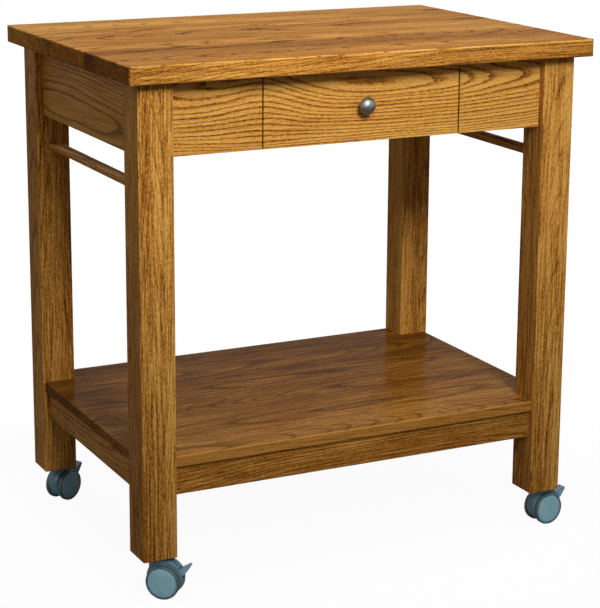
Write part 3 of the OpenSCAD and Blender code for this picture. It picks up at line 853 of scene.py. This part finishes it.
@dataclass
class Studio:
    """The pale floor, the soft lights and the camera.

    Attributes:
        image_w: the picture's width in pixels.
        image_h: the picture's height in pixels.
        sensor_mm: the camera's sensor.
        focal_px: its focal length in pixels.
        centre_y_px: where the lens axis crosses the picture, from its top.
        place: where the camera stands, in metres.
        yaw: its turn about the upright axis, in degrees.
        pitch: how far it looks up, in degrees.
        roll: its tilt to the side, in degrees.
        lamps: the lamps.
        ambient: how much light the room gives.
        floor_radius: the floor's radius, in metres.
        floor_sides: how many sides its rim has.
        floor_pale: the floor's grey to the eye.
        floor_bounce: its grey as it throws light back.
        floor_glow: strength of its white.
        floor_share: from and to which distance, and from and to which share, the white
            takes over from the floor's own grey with its shadow.
    """

    image_w: float = 600.0
    image_h: float = 608.0
    sensor_mm: float = 36.0
    focal_px: float = 1928.5
    centre_y_px: float = 250.0
    place: tuple[float, float, float] = (-1.5480, -3.1301, 1.3448)
    yaw: float = -26.5236
    pitch: float = -13.3432
    roll: float = 0.348
    lamps: tuple[Lamp, ...] = (
        Lamp("key", (-0.30, -2.40, 2.34), 1.0, 8.3, aim_z=1.04, spread=52.0),
        Lamp("top", (-0.1, -0.55, 2.8), 1.5, 14.0),
        Lamp("left", (-3.2, -0.8, 1.5), 2.4, 7.0),
        Lamp("right", (3.2, 0.6, 1.8), 1.8, 7.0),
        Lamp("back", (-1.2, 3.3, 1.7), 1.8, 11.0))
    ambient: float = 0.125
    floor_radius: float = 8.0
    floor_sides: int = 96
    floor_pale: float = 0.93
    floor_bounce: float = 0.45
    floor_glow: float = 1.05
    floor_share: tuple[float, float, float, float] = (0.7, 1.8, 0.90, 1.0)

    def camera(self) -> None:
        """Sets the camera where the photograph was taken from."""
        data = bpy.data.cameras.new("camera")
        data.sensor_width = self.sensor_mm
        long_side = max(self.image_w, self.image_h)
        data.lens = self.focal_px / long_side * data.sensor_width
        data.shift_y = (self.centre_y_px - self.image_h / 2) / long_side
        yaw, pitch, roll = (math.radians(a) for a in (self.yaw, self.pitch, self.roll))
        forward = Vector((-math.sin(yaw) * math.cos(pitch), math.cos(yaw) * math.cos(pitch),
                          math.sin(pitch)))
        level = Vector((math.cos(yaw), math.sin(yaw), 0.0))
        upright = level.cross(forward)
        right = level * math.cos(roll) + upright * math.sin(roll)
        up = upright * math.cos(roll) - level * math.sin(roll)
        camera = bpy.data.objects.new("camera", data)
        camera.matrix_world = Matrix.Translation(self.place) @ Matrix(
            (right, up, -forward)).transposed().to_4x4()
        bpy.context.scene.collection.objects.link(camera)
        bpy.context.scene.camera = camera

    def world(self) -> None:
        """Makes the room: white to the eye and in reflections, a soft grey as light."""
        world = bpy.data.worlds.new("room")
        world.use_nodes = True
        tree = world.node_tree
        tree.nodes.clear()
        ray = tree.nodes.new("ShaderNodeLightPath")
        seen = tree.nodes.new("ShaderNodeMath")
        seen.operation = "MAXIMUM"
        tree.links.new(ray.outputs["Is Camera Ray"], seen.inputs[0])
        either = tree.nodes.new("ShaderNodeMath")
        either.operation = "MAXIMUM"
        tree.links.new(ray.outputs["Is Transmission Ray"], either.inputs[0])
        tree.links.new(ray.outputs["Is Glossy Ray"], either.inputs[1])
        tree.links.new(either.outputs[0], seen.inputs[1])
        light = tree.nodes.new("ShaderNodeMapRange")
        light.inputs["To Min"].default_value = self.ambient
        light.inputs["To Max"].default_value = 1.0
        tree.links.new(seen.outputs[0], light.inputs["Value"])
        back = tree.nodes.new("ShaderNodeBackground")
        back.inputs["Color"].default_value = (1.0, 1.0, 1.0, 1.0)
        tree.links.new(light.outputs[0], back.inputs["Strength"])
        output = tree.nodes.new("ShaderNodeOutputWorld")
        tree.links.new(back.outputs[0], output.inputs[0])
        bpy.context.scene.world = world

    def floor(self) -> None:
        """Lays a round pale floor that shows white and keeps the trolley's shadow."""
        turns = [math.tau * i / self.floor_sides for i in range(self.floor_sides)]
        ring = [(self.floor_radius * math.cos(turn), self.floor_radius * math.sin(turn), 0.0)
                for turn in turns]
        mesh = bpy.data.meshes.new("floor")
        mesh.from_pydata(ring, [], [tuple(range(self.floor_sides))])
        floor = bpy.data.objects.new("floor", mesh)
        bpy.context.scene.collection.objects.link(floor)
        g = Graph("pale_floor")
        g.shader.inputs["Specular IOR Level"].default_value = 0.0
        g.shader.inputs["Roughness"].default_value = 1.0
        seen = g.node("ShaderNodeLightPath").outputs["Is Camera Ray"]
        g.feed(g.shader.inputs["Base Color"],
               g.tint((self.floor_bounce,) * 3 + (1.0,), (self.floor_pale,) * 3 + (1.0,), seen))
        away = g.vector("LENGTH", g.place()).outputs["Value"]
        share = g.node("ShaderNodeMapRange")
        g.feed(share.inputs["Value"], away)
        for name, value in zip(("From Min", "From Max", "To Min", "To Max"), self.floor_share):
            share.inputs[name].default_value = value
        glow = g.node("ShaderNodeEmission")
        glow.inputs["Strength"].default_value = self.floor_glow
        mix = g.node("ShaderNodeMixShader")
        g.feed(mix.inputs[0], g.math("MULTIPLY", share.outputs[0], seen))
        g.tree.links.new(g.shader.outputs[0], mix.inputs[1])
        g.tree.links.new(glow.outputs[0], mix.inputs[2])
        g.tree.links.new(mix.outputs[0], g.tree.nodes["Material Output"].inputs[0])
        mesh.materials.append(g.material)

    def build(self) -> None:
        """Sets up everything that isn't the trolley."""
        self.camera()
        for lamp in self.lamps:
            lamp.hang()
        self.world()
        self.floor()
        bpy.context.scene.view_settings.view_transform = "Standard"


def main() -> None:
    """Dresses the trolley part by part and sets up the studio."""
    logging.basicConfig(level=logging.INFO, format="%(name)s: %(message)s")
    steel = Metal("zinc_steel", (0.55, 0.56, 0.58), rough=0.34).build()
    gunmetal = Metal("gunmetal", (0.22, 0.235, 0.205), rough=0.36).build()
    Worktop().build(steel)
    Legs().build()
    Apron().build()
    InnerFrame().build()
    Drawer().build(steel, gunmetal)
    TowelBars().build()
    LowerShelf().build()
    Casters().build(steel)
    Studio().build()


if __name__ == "__main__":
    main()
